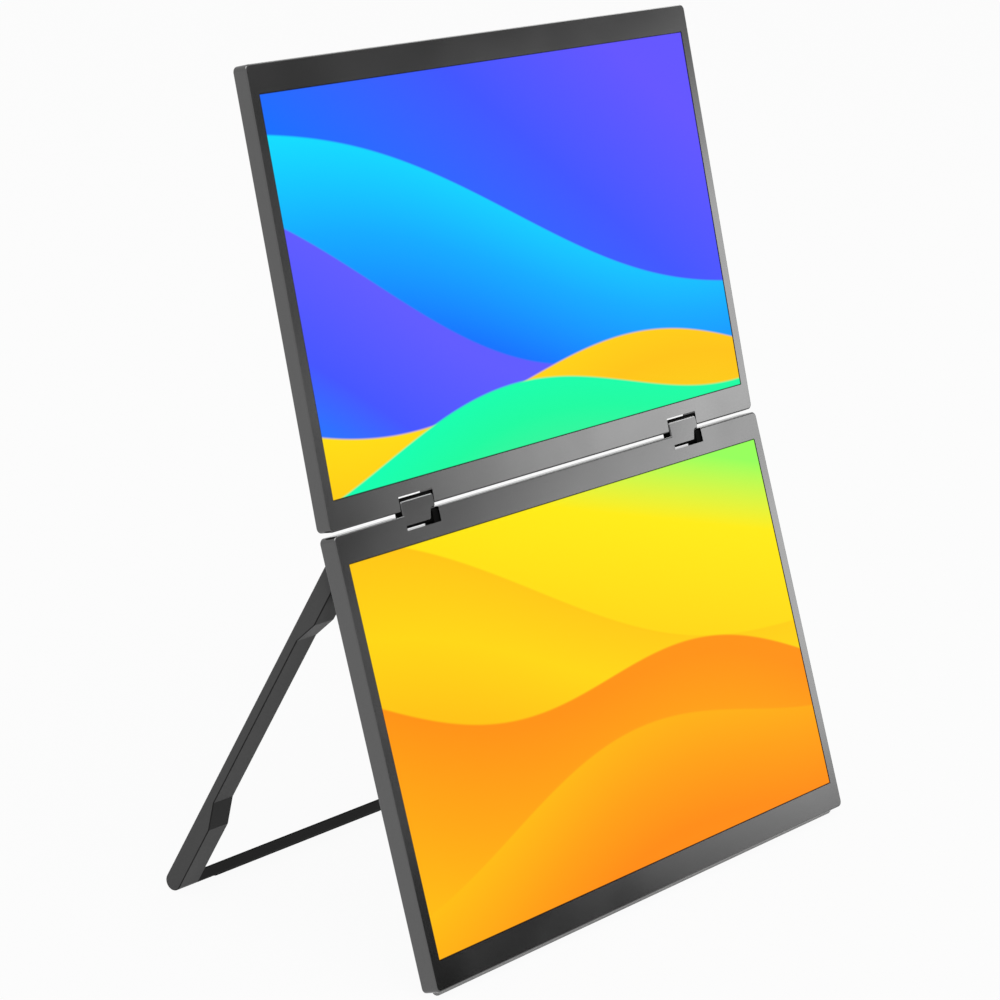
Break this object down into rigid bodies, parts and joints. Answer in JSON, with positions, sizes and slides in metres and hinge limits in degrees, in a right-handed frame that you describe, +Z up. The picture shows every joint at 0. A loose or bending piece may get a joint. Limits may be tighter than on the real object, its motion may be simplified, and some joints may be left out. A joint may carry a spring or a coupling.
{
  "type": "dual-screen portable monitor",
  "caption": "Folding portable monitor: stacked wide screens joined by hinge links, propped by a hinged U-shaped stand behind the lower screen.",
  "frame": {"origin": "on the floor, below the middle of the standing outline", "axes": "+Z up, +X to the right seen from the front, +Y to the back; screens face -Y"},
  "size_m": [0.357, 0.1778, 0.4223],
  "materials": {
    "bezel": "satin anodised",
    "upper_screen": "matte lit screen",
    "lower_screen": "matte lit screen",
    "lcd_cell": "smooth",
    "films": "matte white",
    "guide": "clear acrylic",
    "led": "plain",
    "tray": "sheet",
    "board": "solder mask",
    "socket_metal": "plain",
    "socket_plastic": "plain",
    "switches": "plain",
    "screws": "black zinc",
    "brackets": "plain",
    "pins": "ground",
    "collars": "plain",
    "buttons": "satin",
    "cover": "fine texture",
    "speakers": "plain",
    "strip_rubber": "matte",
    "links": "satin anodised",
    "knuckles": "matte",
    "stand": "satin anodised",
    "pad_rubber": "matte"
  },
  "bodies": {
    "lower_display": {"foot_strip": "strip_rubber", "left_speaker": "speakers", "left_stand_bracket": "brackets", "left_stand_pin": "pins", "lower_backlight_tray": "tray", "lower_board_screws": "screws", "lower_bracket_screws": "screws", "lower_controller_board": "board", "lower_cover_screws": "screws", "lower_front_bezel": "bezel", "lower_headphone_socket": "socket_plastic", "lower_hinge_collars": "collars", "lower_hinge_knuckles": "knuckles", "lower_lcd_cell": "lcd_cell", "lower_led_strip": "led", "lower_left_hinge_bracket": "brackets", "lower_left_hinge_shaft": "pins", "lower_light_guide": "guide", "lower_mini_hdmi_socket": "socket_metal", "lower_optical_films": "films", "lower_rear_cover": "cover", "lower_right_hinge_bracket": "brackets", "lower_right_hinge_shaft": "pins", "lower_screen_glass": "lower_screen", "lower_tact_switches": "switches", "lower_usb_c_sockets": "socket_metal", "right_speaker": "speakers", "right_stand_bracket": "brackets", "right_stand_pin": "pins", "stand_bracket_screws": "screws"},
    "hinge_links": {"left_hinge_link": "links", "right_hinge_link": "links"},
    "upper_display": {"upper_backlight_tray": "tray", "upper_board_screws": "screws", "upper_bracket_screws": "screws", "upper_controller_board": "board", "upper_cover_screws": "screws", "upper_front_bezel": "bezel", "upper_hinge_collars": "collars", "upper_lcd_cell": "lcd_cell", "upper_led_strip": "led", "upper_left_hinge_bracket": "brackets", "upper_left_hinge_shaft": "pins", "upper_light_guide": "guide", "upper_mini_hdmi_socket": "socket_metal", "upper_optical_films": "films", "upper_rear_cover": "cover", "upper_right_hinge_bracket": "brackets", "upper_right_hinge_shaft": "pins", "upper_screen_glass": "upper_screen", "upper_tact_switches": "switches", "upper_usb_c_sockets": "socket_metal"},
    "stand": {"stand_frame": "stand", "stand_pad": "pad_rubber"},
    "lower_power_button": {"lower_power_button": "buttons"},
    "lower_menu_rocker": {"lower_menu_rocker": "buttons"},
    "upper_power_button": {"upper_power_button": "buttons"},
    "upper_menu_rocker": {"upper_menu_rocker": "buttons"}
  },
  "joints": [
    {"name": "stand_hinge", "type": "hinge", "parent": "lower_display", "child": "stand", "pos_m": [0, 0.00032, 0.18539], "axis": [1, 0, 0], "range_deg": [-47.1, 12.9]},
    {"name": "lower_hinge", "type": "hinge", "parent": "lower_display", "child": "hinge_links", "pos_m": [0, -0.00428, 0.20534], "axis": [1, 0, 0], "range_deg": [-4, 90]},
    {"name": "upper_hinge", "type": "hinge", "parent": "hinge_links", "child": "upper_display", "pos_m": [0, -0.00044, 0.2149], "axis": [1, 0, 0], "range_deg": [-14.5, 86.5]},
    {"name": "lower_power_press", "type": "slide", "parent": "lower_display", "child": "lower_power_button", "axis": [-1, 0, 0], "range_m": [0, 0.0005], "stiffness_N_per_m": 3000},
    {"name": "lower_menu_rock", "type": "hinge", "parent": "lower_display", "child": "lower_menu_rocker", "pos_m": [0.17585, -0.02169, 0.15835], "axis": [0, 0.928, -0.3727], "range_deg": [-4, 4], "stiffness_Nm_per_rad": 0.1},
    {"name": "upper_power_press", "type": "slide", "parent": "upper_display", "child": "upper_power_button", "axis": [-1, 0, 0], "range_m": [0, 0.0005], "stiffness_N_per_m": 3000},
    {"name": "upper_menu_rock", "type": "hinge", "parent": "upper_display", "child": "upper_menu_rocker", "pos_m": [0.17585, 0.05395, 0.36922], "axis": [0, 0.9486, -0.3165], "range_deg": [-4, 4], "stiffness_Nm_per_rad": 0.1}
  ]
}
